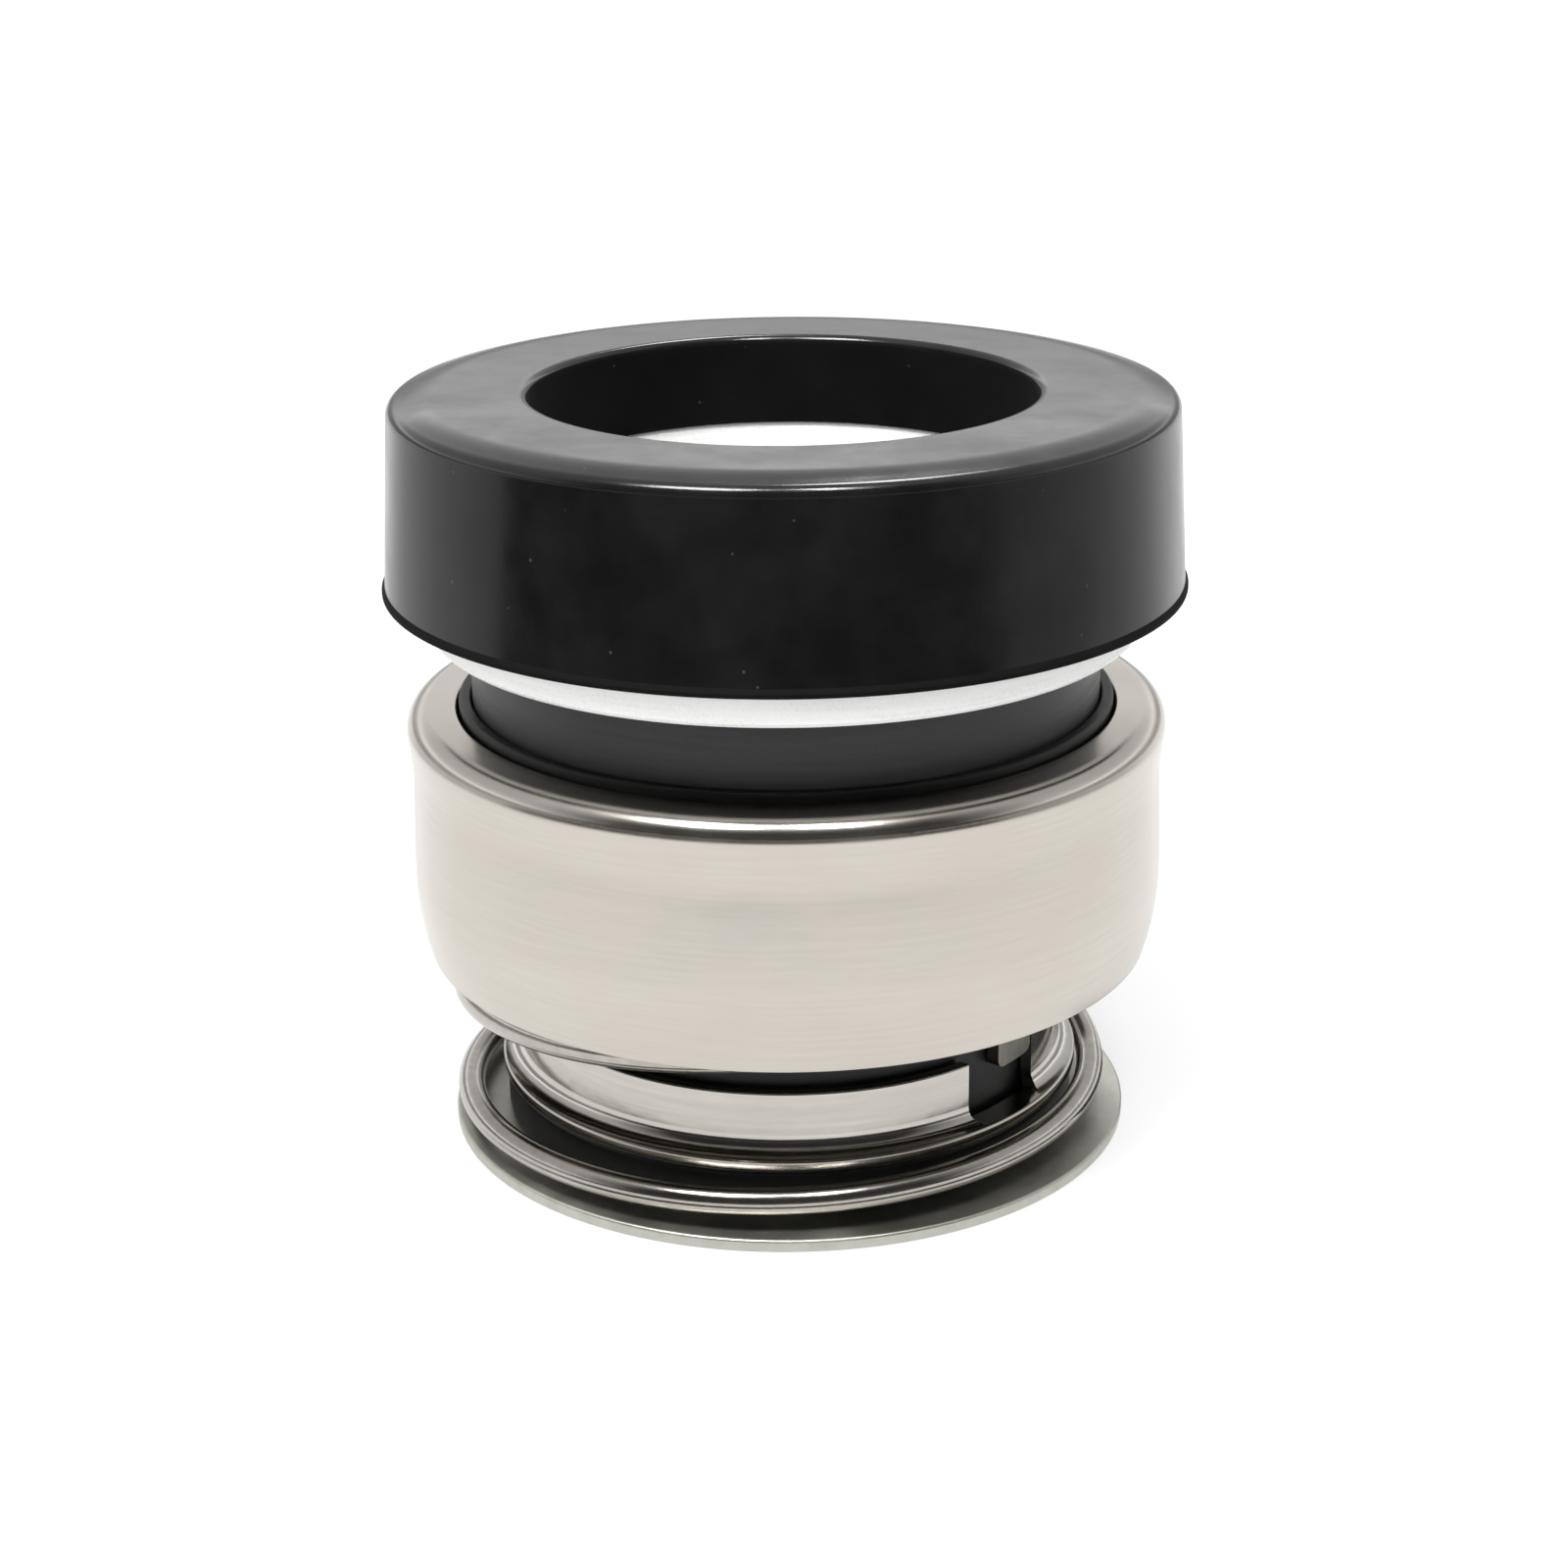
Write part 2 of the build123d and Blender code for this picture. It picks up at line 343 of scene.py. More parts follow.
def rubber(name, deep, bloom, gloss, specular):
    """Moulded black rubber. Carbon black gives the deep tone, wax that rises to the
    surface clouds it, and the mould's ground steel leaves a fine grain that softens the
    gloss. A little dust clings to it as pale specks."""
    material, tree = new_material(name)
    place = add(tree, "ShaderNodeTexCoord").outputs["Object"]
    cloud = add(
        tree,
        "ShaderNodeTexNoise",
        {"Vector": place, "Scale": per_mm(3.5), "Detail": 5.0, "Roughness": 0.6},
    ).outputs["Fac"]
    grain = add(
        tree, "ShaderNodeTexNoise", {"Vector": place, "Scale": per_mm(0.16), "Detail": 3.0}
    ).outputs["Fac"]
    wave = add(
        tree, "ShaderNodeTexNoise", {"Vector": place, "Scale": per_mm(6.0), "Detail": 1.0}
    ).outputs["Fac"]
    dust = add(
        tree, "ShaderNodeTexVoronoi", {"Vector": place, "Scale": per_mm(1.3), "Randomness": 1.0}
    ).outputs["Distance"]
    speck = add(
        tree,
        "ShaderNodeMapRange",
        {"Value": dust, "From Min": 0.03, "From Max": 0.06, "To Min": 0.5, "To Max": 0.0},
    )
    clouded = add(tree, "ShaderNodeMapRange", {"Value": cloud, "From Min": 0.38, "From Max": 0.68})
    tone = add(
        tree,
        "ShaderNodeMix",
        {0: clouded.outputs["Result"], 6: linear(deep), 7: linear(bloom)},
        data_type="RGBA",
    )
    colour = add(
        tree,
        "ShaderNodeMix",
        {0: speck.outputs["Result"], 6: tone.outputs[2], 7: linear("#4a4a48")},
        data_type="RGBA",
    )
    rough = add(
        tree,
        "ShaderNodeMapRange",
        {
            "Value": cloud,
            "From Min": 0.3,
            "From Max": 0.7,
            "To Min": gloss - 0.04,
            "To Max": gloss + 0.06,
        },
    )
    swell = add(tree, "ShaderNodeBump", {"Height": wave, "Strength": 0.5, "Distance": 0.02 * MM})
    bump = add(
        tree,
        "ShaderNodeBump",
        {
            "Height": grain,
            "Normal": swell.outputs["Normal"],
            "Strength": 0.14,
            "Distance": 0.02 * MM,
        },
    )
    shader = add(
        tree,
        "ShaderNodeBsdfPrincipled",
        {
            "Base Color": colour.outputs[2],
            "Roughness": rough.outputs["Result"],
            "Normal": bump.outputs["Normal"],
            "IOR": 1.5,
            "Specular IOR Level": specular,
        },
    )
    add(tree, "ShaderNodeOutputMaterial", {"Surface": shader.outputs["BSDF"]})
    return material


def steel(name, tint, shadow, gloss, lay, line, relief, mottle=0.0):
    """Stainless steel with the lines its making left. lay stretches them along an axis,
    line is their spacing and relief how deep they catch the light. mottle is the depth
    of the soft dents that pressing and handling leave."""
    material, tree = new_material(name)
    place = add(tree, "ShaderNodeTexCoord").outputs["Object"]
    along = add(tree, "ShaderNodeMapping", {"Vector": place, "Scale": lay}).outputs["Vector"]
    lines = add(
        tree,
        "ShaderNodeTexNoise",
        {"Vector": along, "Scale": per_mm(line), "Detail": 5.0, "Roughness": 0.65},
    ).outputs["Fac"]
    cloud = add(
        tree, "ShaderNodeTexNoise", {"Vector": place, "Scale": per_mm(4.0), "Detail": 4.0}
    ).outputs["Fac"]
    dents = add(
        tree, "ShaderNodeTexNoise", {"Vector": place, "Scale": per_mm(1.6), "Detail": 2.0}
    ).outputs["Fac"]
    mixed = add(tree, "ShaderNodeMath", {0: lines, 1: cloud}, operation="MULTIPLY")
    worn = add(
        tree,
        "ShaderNodeMapRange",
        {"Value": mixed.outputs["Value"], "From Min": 0.12, "From Max": 0.4},
    )
    colour = add(
        tree,
        "ShaderNodeMix",
        {0: worn.outputs["Result"], 6: linear(shadow), 7: linear(tint)},
        data_type="RGBA",
    )
    rough = add(
        tree,
        "ShaderNodeMapRange",
        {
            "Value": cloud,
            "From Min": 0.3,
            "From Max": 0.7,
            "To Min": gloss * 0.85,
            "To Max": gloss * 1.2,
        },
    )
    beaten = add(
        tree, "ShaderNodeBump", {"Height": dents, "Strength": mottle, "Distance": 0.05 * MM}
    )
    bump = add(
        tree,
        "ShaderNodeBump",
        {
            "Height": lines,
            "Normal": beaten.outputs["Normal"],
            "Strength": relief,
            "Distance": 0.01 * MM,
        },
    )
    shader = add(
        tree,
        "ShaderNodeBsdfPrincipled",
        {
            "Base Color": colour.outputs[2],
            "Metallic": 1.0,
            "Roughness": rough.outputs["Result"],
            "Normal": bump.outputs["Normal"],
        },
    )
    add(tree, "ShaderNodeOutputMaterial", {"Surface": shader.outputs["BSDF"]})
    return material


def ground_ring(name, body, fleck, gloss, specular, powder):
    """Pressed and ground ring: the grain of its own powder, and the wheel's lines
    round it, with flecks that broke out under the wheel."""
    material, tree = new_material(name)
    place = add(tree, "ShaderNodeTexCoord").outputs["Object"]
    grain = add(
        tree,
        "ShaderNodeTexNoise",
        {"Vector": place, "Scale": per_mm(powder), "Detail": 4.0, "Roughness": 0.7},
    ).outputs["Fac"]
    lie = add(
        tree, "ShaderNodeMapping", {"Vector": place, "Scale": (0.05, 0.05, 1.0)}
    ).outputs["Vector"]
    wheel = add(
        tree, "ShaderNodeTexNoise", {"Vector": lie, "Scale": per_mm(0.25), "Detail": 4.0}
    ).outputs["Fac"]
    mixed = add(tree, "ShaderNodeMath", {0: grain, 1: wheel}, operation="ADD").outputs["Value"]
    tone = add(tree, "ShaderNodeMapRange", {"Value": mixed, "From Min": 0.75, "From Max": 1.2})
    colour = add(
        tree,
        "ShaderNodeMix",
        {0: tone.outputs["Result"], 6: linear(fleck), 7: linear(body)},
        data_type="RGBA",
    )
    rough = add(
        tree,
        "ShaderNodeMapRange",
        {
            "Value": mixed,
            "From Min": 0.75,
            "From Max": 1.25,
            "To Min": gloss - 0.06,
            "To Max": gloss + 0.08,
        },
    )
    bump = add(tree, "ShaderNodeBump", {"Height": mixed, "Strength": 0.2, "Distance": 0.01 * MM})
    shader = add(
        tree,
        "ShaderNodeBsdfPrincipled",
        {
            "Base Color": colour.outputs[2],
            "Roughness": rough.outputs["Result"],
            "Normal": bump.outputs["Normal"],
            "Specular IOR Level": specular,
        },
    )
    add(tree, "ShaderNodeOutputMaterial", {"Surface": shader.outputs["BSDF"]})
    return material


# Stretch of the steel's lines along X, Y and Z: round a ring, along the wire, even as on
# a blanked sheet, and up the lug
ROUND_LINES = (0.04, 0.04, 1.0)
WIRE_LINES = (0.6, 0.6, 0.6)
SHEET_GRAIN = (1.0, 1.0, 1.0)
LUG_LINES = (1.0, 1.0, 0.1)
cup_rubber = rubber("moulded_nitrile_rubber", "#0b0b0b", "#111111", 0.18, 0.5)
# Painted shade: the bead at the cup's mouth and the wall of its hole get a darker, rougher rubber
# that reflects little, which stands in for the shade under the cup's brow and inside the hole
painted_shade_rubber = rubber("nitrile_rubber_painted_shade", "#060606", "#0b0b0b", 0.75, 0.12)
bellows_rubber = rubber("moulded_bellows_rubber", "#090909", "#0f0f0f", 0.42, 0.35)
shell_steel = steel("satin_stainless", "#c3beb6", "#bdb7ae", 0.22, ROUND_LINES, 0.2, 0.05)
band_steel = steel("drawn_stainless", "#c0bdb6", "#b2aea7", 0.14, ROUND_LINES, 0.3, 0.04, 0.25)
wire_steel = steel("drawn_spring_wire", "#b5b1aa", "#a39f98", 0.17, WIRE_LINES, 0.4, 0.05)
stamped_steel = steel("stamped_stainless", "#c6c5bd", "#b5b4ab", 0.43, SHEET_GRAIN, 0.8, 0.04)
# Painted shade: the lug's tint is far darker than the other steel's, standing in for the shade
# under the shell and the dark the lug mirrors there
lug_steel_painted_dark = steel("pressed_stainless_painted_shade", "#858279", "#6c6963", 0.34, LUG_LINES, 0.2, 0.1)
carbon = ground_ring("lapped_carbon_graphite", "#303032", "#262628", 0.4, 0.4, 0.08)
alumina = ground_ring("ground_alumina", "#f6f6f4", "#ececea", 0.3, 0.5, 0.12)


# Spring: a wire that climbs slowly in its closed end coils and quickly in the active one


def spring_tree():
    """Geometry Nodes that sweep a round wire along the coil, by named sizes."""
    tree = bpy.data.node_groups.new("coil_of_wire", "GeometryNodeTree")
    face = tree.interface
    face.new_socket("Geometry", in_out="INPUT", socket_type="NodeSocketGeometry")
    sizes = (
        "Wire Radius",
        "Coil Radius",
        "Shift",
        "Bottom",
        "Top",
        "End Turns",
        "Active Turns",
        "End Pitch",
        "Start Angle",
    )
    for size in sizes:
        face.new_socket(size, in_out="INPUT", socket_type="NodeSocketFloat")
    face.new_socket("Points", in_out="INPUT", socket_type="NodeSocketInt")
    face.new_socket("Finish", in_out="INPUT", socket_type="NodeSocketMaterial")
    face.new_socket("Geometry", in_out="OUTPUT", socket_type="NodeSocketGeometry")
    given = add(tree, "NodeGroupInput").outputs

    def maths(operation, first, second=0.0, third=0.0):
        given_values = {0: first, 1: second, 2: third}
        return add(tree, "ShaderNodeMath", given_values, operation=operation).outputs[0]

    last = maths("SUBTRACT", given["Points"], 1.0)
    share = maths("DIVIDE", add(tree, "GeometryNodeInputIndex").outputs[0], last)
    turns = maths("MULTIPLY_ADD", given["End Turns"], 2.0, given["Active Turns"])
    turn = maths("MULTIPLY", share, turns)
    past_end = maths("MAXIMUM", maths("SUBTRACT", turn, given["End Turns"]), 0.0)
    active = maths("MINIMUM", past_end, given["Active Turns"])
    closed = maths("SUBTRACT", turn, active)
    rise = maths("SUBTRACT", given["Top"], given["Bottom"])
    ends = maths("MULTIPLY", maths("MULTIPLY", given["End Turns"], 2.0), given["End Pitch"])
    pitch = maths("DIVIDE", maths("SUBTRACT", rise, ends), given["Active Turns"])
    height = maths("MULTIPLY_ADD", closed, given["End Pitch"], given["Bottom"])
    height = maths("MULTIPLY_ADD", active, pitch, height)
    angle = maths("MULTIPLY_ADD", turn, 2 * pi, given["Start Angle"])
    x = maths("MULTIPLY_ADD", maths("SINE", angle), given["Coil Radius"], given["Shift"])
    y = maths("MULTIPLY", maths("COSINE", angle), maths("MULTIPLY", given["Coil Radius"], -1.0))
    spot = add(tree, "ShaderNodeCombineXYZ", {"X": x, "Y": y, "Z": height})
    line = add(tree, "GeometryNodeMeshLine", {"Count": given["Points"]})
    coil = add(
        tree,
        "GeometryNodeSetPosition",
        {"Geometry": line.outputs["Mesh"], "Position": spot.outputs["Vector"]},
    )
    path = add(tree, "GeometryNodeMeshToCurve", {"Mesh": coil.outputs["Geometry"]})
    wire = add(
        tree,
        "GeometryNodeCurvePrimitiveCircle",
        {"Resolution": WIRE_SIDES, "Radius": given["Wire Radius"]},
    )
    swept = add(
        tree,
        "GeometryNodeCurveToMesh",
        {"Curve": path.outputs["Curve"], "Profile Curve": wire.outputs["Curve"], "Fill Caps": True},
    )
    real = add(tree, "GeometryNodeRealizeInstances", {"Geometry": swept.outputs["Mesh"]})
    clad = add(
        tree,
        "GeometryNodeSetMaterial",
        {"Geometry": real.outputs["Geometry"], "Material": given["Finish"]},
    )
    add(tree, "NodeGroupOutput", {"Geometry": clad.outputs["Geometry"]})
    return tree


coil_low, coil_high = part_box("coil_spring")
coil_sizes = {
    "Wire Radius": wire_diameter / 2 * MM,
    "Coil Radius": (coil_high.x - coil_low.x) / 2 - wire_diameter / 2 * MM,
    "Shift": (coil_high.x + coil_low.x) / 2,
    "Bottom": (holder_top + wire_diameter / 2 + coil_seat_gap) * MM,
    "Top": (flange_bottom - wire_diameter / 2 - coil_seat_gap) * MM,
    "End Turns": 0.667,
    "Active Turns": 1.32,
    "End Pitch": 1.6 * MM,
    "Start Angle": radians(-150),
    "Points": WIRE_POINTS,
    "Finish": wire_steel,
}


def coil_spring():
    """The spring as a plain mesh."""
    tree = spring_tree()
    piece = bpy.data.objects.new("spring_wire", bpy.data.meshes.new("spring_wire"))
    bpy.context.scene.collection.objects.link(piece)
    modifier = piece.modifiers.new("coil", "NODES")
    modifier.node_group = tree
    for socket in tree.interface.items_tree:
        if socket.in_out == "INPUT" and socket.name in coil_sizes:
            modifier[socket.identifier] = coil_sizes[socket.name]
    plain_copy(piece)
    return piece


# Pieces of the tail

foot_ring = turned(
    "holder_ring",
    [
        (spigot_radius + close_fit, holder_bottom, edge_radius),
        (holder_radius, holder_bottom, edge_radius),
        (holder_radius, holder_top, edge_radius),
        (spigot_radius + close_fit, holder_top, edge_radius),
    ],
)
foot_ring.data.materials.append(stamped_steel)

drive_sleeve = turned(
    "drive_sleeve",
    [
        (band_inner, foot_top, band_bend + sheet),
        (band_lip_radius, foot_top, edge_radius),
        (band_lip_radius, band_lip_top, edge_radius),
        (band_outer, band_lip_top, band_bend),
        (band_outer, band_top, edge_radius),
        (band_inner, band_top, edge_radius),
    ],
)
slot_outline = [
    (-slot_width / 2, band_lip_top, slot_corner),
    (slot_width / 2, band_lip_top, slot_corner),
    (slot_width / 2, band_top + sheet, 0),
    (-slot_width / 2, band_top + sheet, 0),
]
cut(
    drive_sleeve,
    [
        plate("slot_cutter", slot_outline, slot_angle + turn, 0.5 * band_inner, 1.5 * band_outer)
        for turn in (0, 180)
    ],
)
drive_sleeve.data.materials.append(band_steel)

spring_wire = coil_spring()

# Bellows, which reaches from the tail to the head

fold_inner = tail_radius - bellows_wall
valley_outer = tail_radius - fold_depth
valley_inner = fold_inner - fold_depth
throat = fold_inner + throat_step
tail_end = spigot_bottom + tail_length
relief_bottom = tail_end + tail_ramp
throat_bottom = flange_top - bellows_wall
valley_bottom = (relief_bottom + throat_bottom - fold_land) / 2
valley_top = valley_bottom + fold_land
fold_bottom = valley_bottom - fold_ramp
fold_top = valley_top + fold_ramp
rubber_bellows = turned(
    "rubber_bellows",
    [
        (tail_bore, spigot_bottom, edge_radius),
        (spigot_radius, spigot_bottom, edge_radius),
        (spigot_radius, holder_top, 0),
        (foot_radius, holder_top, rubber_edge),
        (foot_radius, foot_top, rubber_edge),
        (tail_radius, foot_top, 0),
        (tail_radius, fold_bottom, fold_radius),
        (valley_outer, valley_bottom, fold_radius),
        (valley_outer, valley_top, fold_radius),
        (tail_radius, fold_top, fold_radius),
        (tail_radius, flange_top, sleeve_bend + sheet + rubber_fit),
        (head_radius, flange_top, rubber_edge),
        (head_radius, shoulder_top, shell_corner),
        (collar_radius, shoulder_top, edge_radius),
        (collar_radius, collar_top, collar_edge),
        (head_pocket, collar_top, edge_radius),
        (head_pocket, carbon_back, 0),
        (throat, carbon_back, edge_radius),
        (throat, flange_top, rubber_edge),
        (fold_inner, throat_bottom, rubber_edge),
        (fold_inner, fold_top, fold_radius),
        (valley_inner, valley_top, fold_radius),
        (valley_inner, valley_bottom, fold_radius),
        (fold_inner, fold_bottom, fold_radius),
        (fold_inner, relief_bottom, fold_radius),
        (tail_bore, tail_end, rubber_edge),
    ],
)
rubber_bellows.data.materials.append(bellows_rubber)

# Pieces of the head. The sleeve is cut back to the lugs, whose tips are rounded.

below_lugs = lug_tip - sheet
past_middle = 0.05
spring_seat = turned(
    "spring_seat",
    [
        (band_inner, below_lugs, 0),
        (band_outer, below_lugs, 0),
        (band_outer, flange_bottom, sleeve_bend),
        (flange_radius, flange_bottom, edge_radius),
        (flange_radius, flange_top, edge_radius),
        (band_inner, flange_top, sleeve_bend + sheet),
    ],
)
skirt_outline = [
    (-1.5 * band_outer, below_lugs - sheet, 0),
    (past_middle, below_lugs - sheet, 0),
    (past_middle, lug_tip, 0),
    (-lug_width / 2, lug_tip, lug_corner),
    (-lug_width / 2, sleeve_bottom, 0),
    (-1.5 * band_outer, sleeve_bottom, 0),
]
mirrored_outline = [(-x, z, radius) for x, z, radius in reversed(skirt_outline)]
cut(
    spring_seat,
    [
        plate("skirt_cutter", outline, slot_angle + lug_lean, -1.5 * band_outer, 1.5 * band_outer)
        for outline in (skirt_outline, mirrored_outline)
    ],
)
# Painted shade: the retainer takes the darkened lug steel
spring_seat.data.materials.append(lug_steel_painted_dark)

rim_outer = shell_radius - shell_draw_in
rim_inner = rim_outer - sheet
draw_corner = shell_bottom + shell_draw_height
head_shell = turned(
    "head_shell",
    [
        (rim_inner, shell_bottom, edge_radius),
        (rim_outer, shell_bottom, edge_radius),
        (shell_radius, draw_corner, shell_draw_sweep),
        (shell_radius - waist_depth, lip_top - waist_drop, waist_sweep),
        (shell_radius, lip_top - roll_drop, roll_sweep),
        (shell_radius, lip_top, lip_corner),
        (lip_opening, lip_top, edge_radius),
        (lip_opening, lip_bottom, edge_radius),
        (shell_inner, lip_bottom, shell_corner - sheet),
        (shell_inner, draw_corner, shell_draw_sweep),
    ],
)
head_shell.data.materials.append(shell_steel)


def chamfered(bore, radius, bottom, top):
    """Corners of a ground ring, chamfered all round with the chamfers' edges eased."""
    return [
        (bore + ring_chamfer, bottom, ground_edge),
        (radius - ring_chamfer, bottom, ground_edge),
        (radius, bottom + ring_chamfer, ground_edge),
        (radius, top - ring_chamfer, ground_edge),
        (radius - ring_chamfer, top, ground_edge),
        (bore + ring_chamfer, top, ground_edge),
        (bore, top - ring_chamfer, ground_edge),
        (bore, bottom + ring_chamfer, ground_edge),
    ]


carbon_face = turned(
    "carbon_face", chamfered(carbon_bore, carbon_radius, carbon_back, running_face)
)
carbon_face.data.materials.append(carbon)

# Pieces of the seat

ceramic_face = turned(
    "ceramic_face", chamfered(ceramic_bore, ceramic_radius, ceramic_bottom, ceramic_top)
)
ceramic_face.data.materials.append(alumina)

rubber_cup = turned(
    "rubber_cup",
    [
        (cup_pocket + cup_chamfer, cup_mouth, bead_edge),
        (cup_bead_radius, cup_mouth, bead_edge),
        (cup_bead_radius, cup_mouth + cup_bead_height / 2, bead_edge),
        (cup_foot_radius, cup_mouth + cup_bead_height, bead_edge),
        (cup_brow_radius, cup_top - cup_brow_drop, cup_brow_edge),
        (cup_crown_radius, cup_top, cup_crown_round),
        (cup_bore, cup_top, cup_bore_edge),
        (cup_bore, ceramic_top, 0),
        (cup_pocket, ceramic_top, 0),
        (cup_pocket, cup_mouth + cup_chamfer, bead_edge),
    ],
)
rubber_cup.data.materials.append(cup_rubber)
rubber_cup.data.materials.append(painted_shade_rubber)
# Painted shade: the faces of the bead and of the hole take the darker rubber
for face in rubber_cup.data.polygons:
    r, z = face.center.xy.length / MM, face.center.z / MM
    bead = r > cup_pocket and z < cup_mouth + cup_bead_height
    hole = r < cup_bore + cup_bore_edge / 2 and z < cup_top - cup_bore_edge / 2
    face.material_index = int(bead or hole)

# Which CAD node each piece stands for, and what it moves with

for piece, body, node, slot in (
    (foot_ring, "tail", "spring_holder", "stamped_steel"),
    (drive_sleeve, "tail", "drive_band", "drawn_steel"),
    (spring_seat, "head", "retainer", "stamped_steel"),
    (head_shell, "head", "shell", "shell_steel"),
    (carbon_face, "head", "carbon_ring", "carbon"),
    (ceramic_face, "seat", "ceramic_seat", "alumina"),
    (rubber_cup, "seat", "seat_cup", "cup_rubber"),
):
    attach(piece, body)
    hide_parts(node)

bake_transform(spring_wire)
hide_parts("coil_spring")
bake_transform(rubber_bellows)
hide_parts("bellows")

# Floor: white paper, lit from behind as well as from above. It also has a painted glow of its own,
# which keeps shadows on it faint and grows from near the seal to the far paper, in metres.

FLOOR_REACH = 2.0
GLOW_START = 0.12
GLOW_END = 0.5
NEAR_GLOW = 0.61
FAR_GLOW = 1.1
bm = bmesh.new()
bmesh.ops.create_grid(bm, x_segments=1, y_segments=1, size=FLOOR_REACH)
floor = finish_mesh("studio_floor", bm)
paper, tree = new_material("white_paper_painted_glow")
away = add(
    tree,
    "ShaderNodeVectorMath",
    {0: add(tree, "ShaderNodeTexCoord").outputs["Object"]},
    operation="LENGTH",
)
paper_glow = add(
    tree,
    "ShaderNodeMapRange",
    {
        "Value": away.outputs["Value"],
        "From Min": GLOW_START,
        "From Max": GLOW_END,
        "To Min": NEAR_GLOW,
        "To Max": FAR_GLOW,
    },
)
shader = add(
    tree,
    "ShaderNodeBsdfPrincipled",
    {
        "Base Color": linear("#828282"),
        "Roughness": 0.9,
        "Specular IOR Level": 0.2,
        "Emission Color": (1, 1, 1, 1),
        "Emission Strength": paper_glow.outputs["Result"],
    },
)
add(tree, "ShaderNodeOutputMaterial", {"Surface": shader.outputs["BSDF"]})
floor.data.materials.append(paper)

# Camera, at the photograph's viewing angle

CAMERA_DISTANCE = 134.4
CAMERA_PITCH = radians(19.65)
CAMERA_TARGET = 15.27
CAMERA_LENS = 68.99
SENSOR_WIDTH = 36
CAMERA_ROLL = radians(-0.5)
CAMERA_SHIFT = -0.0018
camera = bpy.data.objects.new("camera", bpy.data.cameras.new("camera"))
camera.data.sensor_width = SENSOR_WIDTH
camera.data.lens = CAMERA_LENS
camera.data.shift_x = CAMERA_SHIFT
camera.data.clip_start = 0.005
camera.data.clip_end = 10 * FLOOR_REACH
towards_camera = Vector((0, -cos(CAMERA_PITCH), sin(CAMERA_PITCH)))
target = Vector((0, 0, CAMERA_TARGET))
camera.location = (target + towards_camera * CAMERA_DISTANCE) * MM
stance = (-towards_camera).to_track_quat("-Z", "Y").to_matrix()
camera.rotation_euler = (stance @ Matrix.Rotation(CAMERA_ROLL, 3, "Z")).to_euler()
bpy.context.scene.collection.objects.link(camera)
bpy.context.scene.camera = camera

# Light: a white tent, brightest low at the back, with the photographer dark in front


def graded(tree, value, stops):
    """Value that runs straight from stop to stop, each a place and a level. The places
    rise, and the first level holds below them and the last above."""
    level = stops[0][1]
    for (start, low), (end, high) in zip(stops, stops[1:]):
        step = add(
            tree,
            "ShaderNodeMapRange",
            {
                "Value": value,
                "From Min": start,
                "From Max": end,
                "To Min": 0.0,
                "To Max": high - low,
            },
        )
        level = add(tree, "ShaderNodeMath", {0: step.outputs["Result"], 1: level}).outputs["Value"]
    return level


def bearing(tree, way):
    """Bearing of a direction in radians, from the photograph's side and positive to its
    right, and the direction's height."""
    split = add(tree, "ShaderNodeSeparateXYZ", {"Vector": way})
    near = add(tree, "ShaderNodeMath", {0: split.outputs["Y"], 1: -1.0}, operation="MULTIPLY")
    turn = add(
        tree,
        "ShaderNodeMath",
        {0: split.outputs["X"], 1: near.outputs["Value"]},
        operation="ARCTAN2",
    )
    return turn.outputs["Value"], split.outputs["Z"]


# The tent's brightness by the height of the direction, which is the sine of its
# elevation. The photographer's body darkens it in front, up to the shoulders, and the
# head and camera in a narrow band above them.
TENT = (
    (0.17, 0.42),
    (0.2, 0.62),
    (0.23, 2.0),
    (0.255, 2.0),
    (0.3, 0.8),
    (0.52, 0.65),
    (0.75, 0.6),
)
BODY = ((0.9, 0.06), (1.5, 1.0))
HEAD = ((0.2, 0.06), (0.3, 1.0))
SHOULDERS = ((0.84, 0.0), (0.88, 1.0))

world = bpy.data.worlds.new("white_tent")
world.use_nodes = True
tree = world.node_tree
tree.nodes.clear()
side, height = bearing(tree, add(tree, "ShaderNodeTexCoord").outputs["Generated"])
tent = graded(tree, height, TENT)
aside = add(tree, "ShaderNodeMath", {0: side}, operation="ABSOLUTE").outputs["Value"]
past_body = graded(tree, aside, BODY)
past_head = graded(tree, aside, HEAD)
above = graded(tree, height, SHOULDERS)
over = add(tree, "ShaderNodeMath", {0: past_head, 1: above}, operation="MULTIPLY").outputs["Value"]
clear = add(tree, "ShaderNodeMath", {0: past_body, 1: over}, operation="MAXIMUM").outputs["Value"]
sky = add(tree, "ShaderNodeMath", {0: tent, 1: clear}, operation="MULTIPLY").outputs["Value"]
# Behind the seal the picture is plain white
seen = add(tree, "ShaderNodeLightPath").outputs["Is Camera Ray"]
glow = add(tree, "ShaderNodeMix", {0: seen, 2: sky, 3: 1.0}, data_type="FLOAT")
backdrop = add(tree, "ShaderNodeBackground", {"Color": (1, 1, 1, 1), "Strength": glow.outputs[0]})
add(tree, "ShaderNodeOutputWorld", {"Surface": backdrop.outputs["Background"]})
bpy.context.scene.world = world


def softbox(name, place, width, height, watts, mirrored):
    """Rectangular diffused lamp at a place in metres, facing the seal. One that isn't
    mirrored lights rubber, carbon and ceramic without a glint on the steel."""
    lamp = bpy.data.lights.new(name, "AREA")
    lamp.shape = "RECTANGLE"
    lamp.size = width
    lamp.size_y = height
    lamp.energy = watts
    box = bpy.data.objects.new(name, lamp)
    box.location = place
    aim = target * MM - Vector(place)
    box.rotation_euler = aim.to_track_quat("-Z", "Y").to_euler()
    box.visible_glossy = mirrored
    bpy.context.scene.collection.objects.link(box)


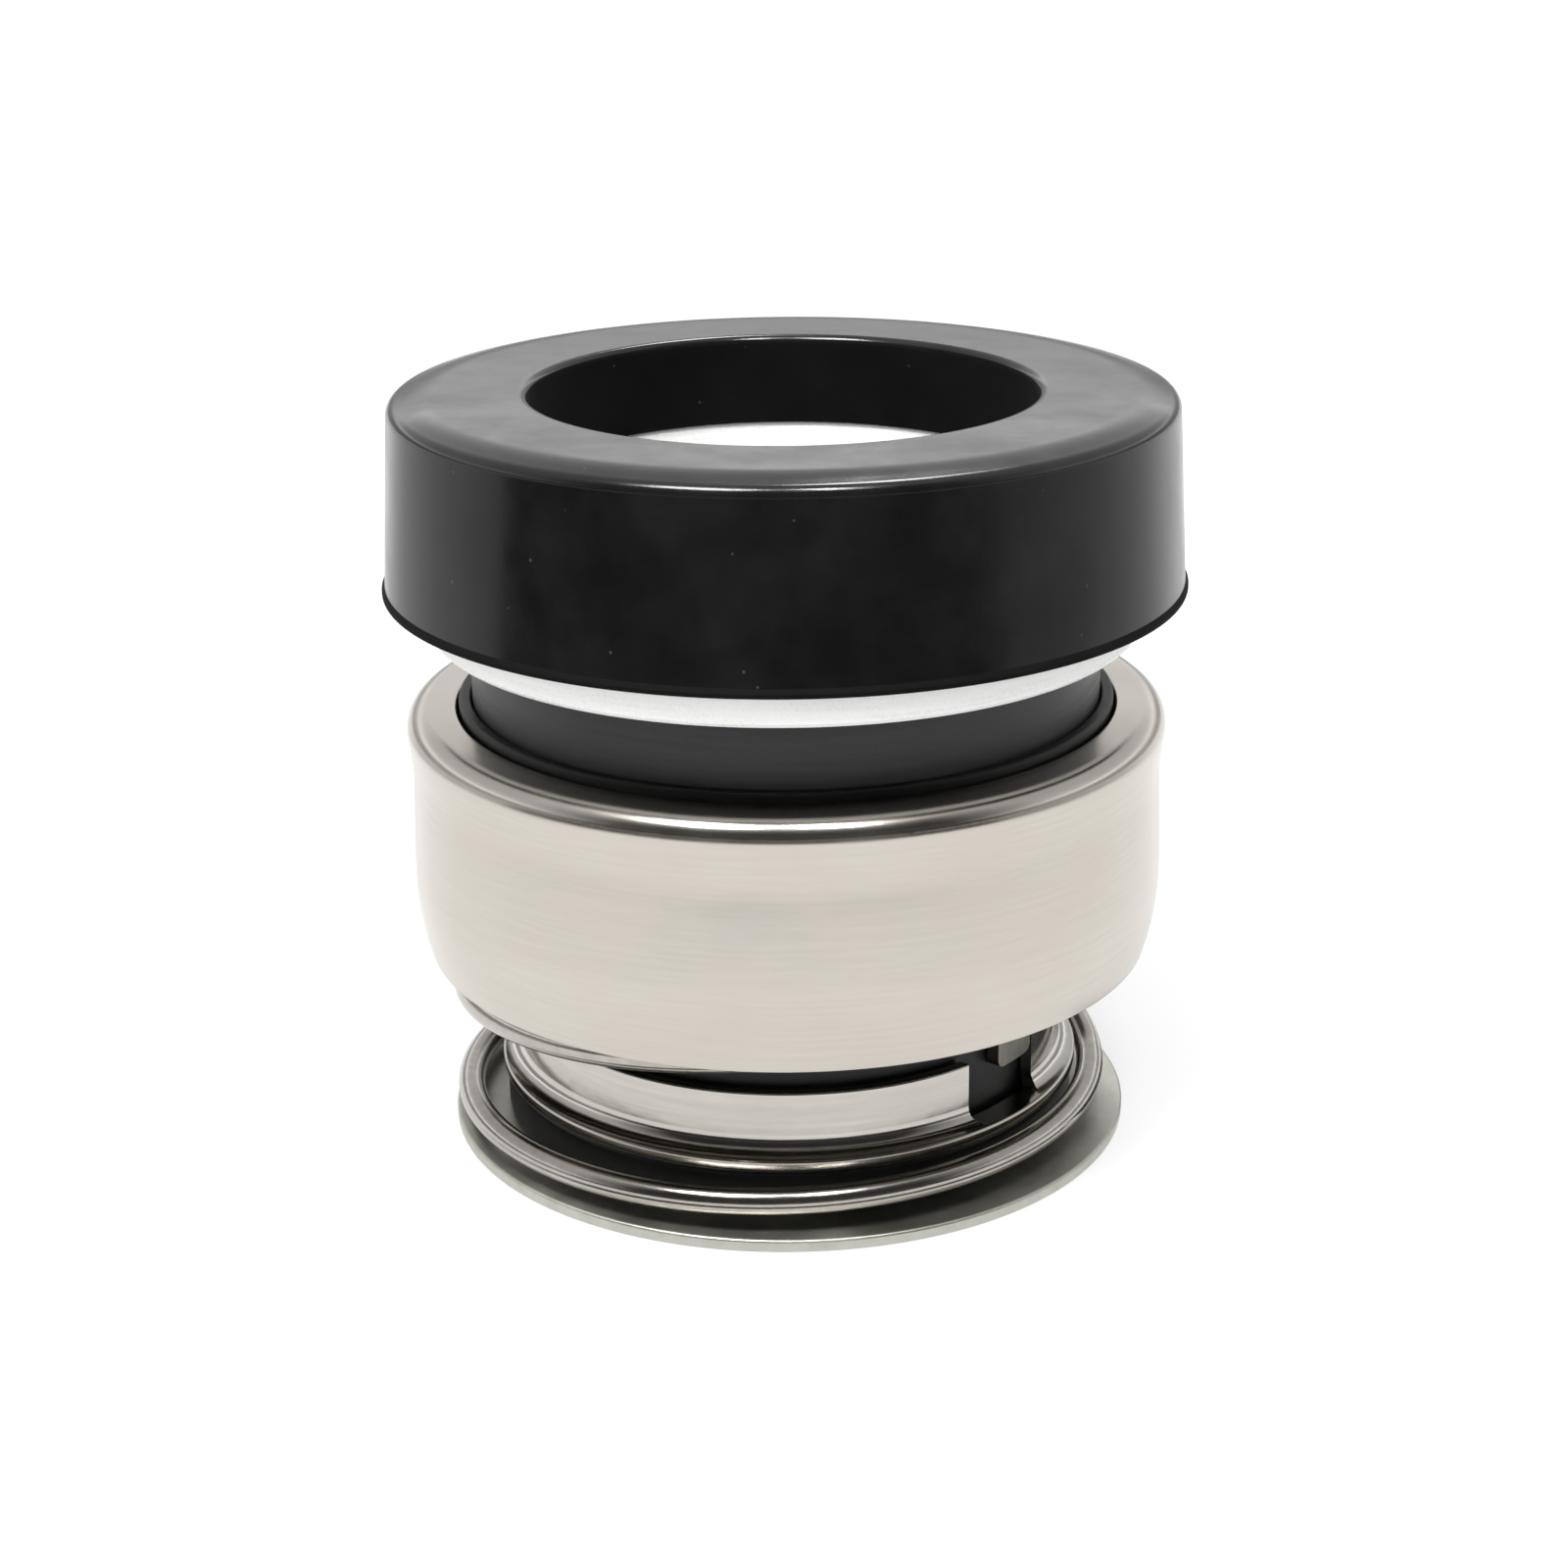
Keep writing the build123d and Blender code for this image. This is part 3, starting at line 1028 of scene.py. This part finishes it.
for lamp in (
    ("left_softbox", (-0.096, -0.121, 0.347), 0.12, 0.1, 1.1, True),
    ("right_softbox", (0.05, -0.134, 0.352), 0.043, 0.1, 0.5, True),
    ("overhead_fill", (0.0, -0.1, 0.38), 0.3, 0.2, 2.0, False),
    ("back_softbox", (0.05, 0.227, 0.347), 0.08, 0.12, 0.38, True),
    ("front_fill", (-0.05, -0.34, 0.2), 0.4, 0.2, 0.8, False),
):
    softbox(*lamp)


def card(name, near, far, left, right, height, stops):
    """Card that only reflections see, flat over the floor as a sector between two
    radii and two bearings, with its brightness graded by the bearing."""
    bm = bmesh.new()
    rows = []
    for k in range(CARD_STEPS + 1):
        angle = radians(left + (right - left) * k / CARD_STEPS)
        spoke = Vector((sin(angle), -cos(angle), 0))
        rows.append([bm.verts.new((spoke * r + Vector((0, 0, height))) * MM) for r in (near, far)])
    for row, after in zip(rows, rows[1:]):
        bm.faces.new((row[0], row[1], after[1], after[0]))
    piece = finish_mesh(name, bm)
    surface, tree = new_material(name)
    side = bearing(tree, add(tree, "ShaderNodeTexCoord").outputs["Object"])[0]
    level = graded(tree, side, [(radians(angle), level) for angle, level in stops])
    shader = add(tree, "ShaderNodeEmission", {"Color": (1, 1, 1, 1), "Strength": level})
    add(tree, "ShaderNodeOutputMaterial", {"Surface": shader.outputs["Emission"]})
    piece.data.materials.append(surface)
    for ray in ("camera", "diffuse", "shadow", "transmission", "volume_scatter"):
        setattr(piece, "visible_" + ray, False)


# Past the paper the cup mirrors the table and the room: dark where the photographer
# stands, and brighter round the sides. The two small cards are the shade where the seal
# meets the paper, which the drive band and the wire mirror.
ROOM = (
    (-150, 1.2),
    (-132, 0.86),
    (-82, 0.6),
    (-79, 0.02),
    (52, 0.02),
    (62, 0.35),
    (76, 0.39),
    (94, 0.58),
    (116, 0.86),
    (130, 1.15),
)
FRONT_SHADE = ((-70, 0.95), (-38, 0.05))
RIGHT_SHADE = ((76, 0.05), (105, 0.05), (125, 0.9))
card("table_round_the_seal", 84.0, 600.0, -179.9, 179.9, 0.5, ROOM)
card("front_contact_shade", 16.8, 19.0, -75.0, 72.0, 0.2, FRONT_SHADE)
card("right_contact_shade", 15.8, 21.5, 76.0, 125.0, 0.2, RIGHT_SHADE)

bpy.context.scene.view_settings.view_transform = "Standard"
